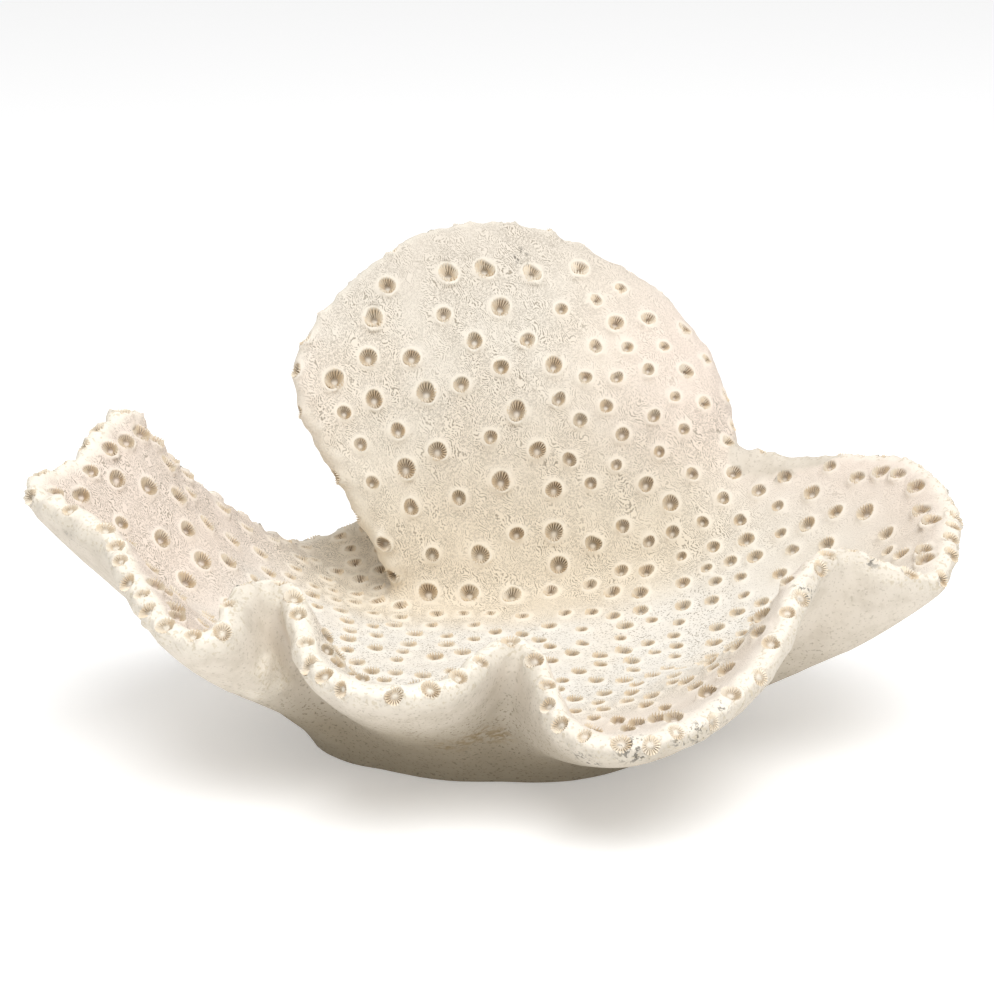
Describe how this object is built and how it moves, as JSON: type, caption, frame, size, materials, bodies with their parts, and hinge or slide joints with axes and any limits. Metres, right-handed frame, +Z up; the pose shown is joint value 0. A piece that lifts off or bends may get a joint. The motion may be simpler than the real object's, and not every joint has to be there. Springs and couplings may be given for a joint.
{
  "type": "cup coral skeleton",
  "caption": "Dry skeleton of a plate-forming stony coral: a wide ruffled bowl with an upright frond at its back, dotted with small star-shaped pits.",
  "frame": {"origin": "near the middle of the flat cut the coral stands on", "axes": "+X towards the right lobe, +Y from the ruffled front rim to the frond, +Z up"},
  "size_m": [0.252, 0.2143, 0.1223],
  "materials": {
    "bowl": "matte, chalky, bleached skeleton",
    "frond": "matte, chalky, bleached skeleton"
  },
  "bodies": {
    "root": {"bowl": "bowl", "frond": "frond"}
  },
  "joints": []
}
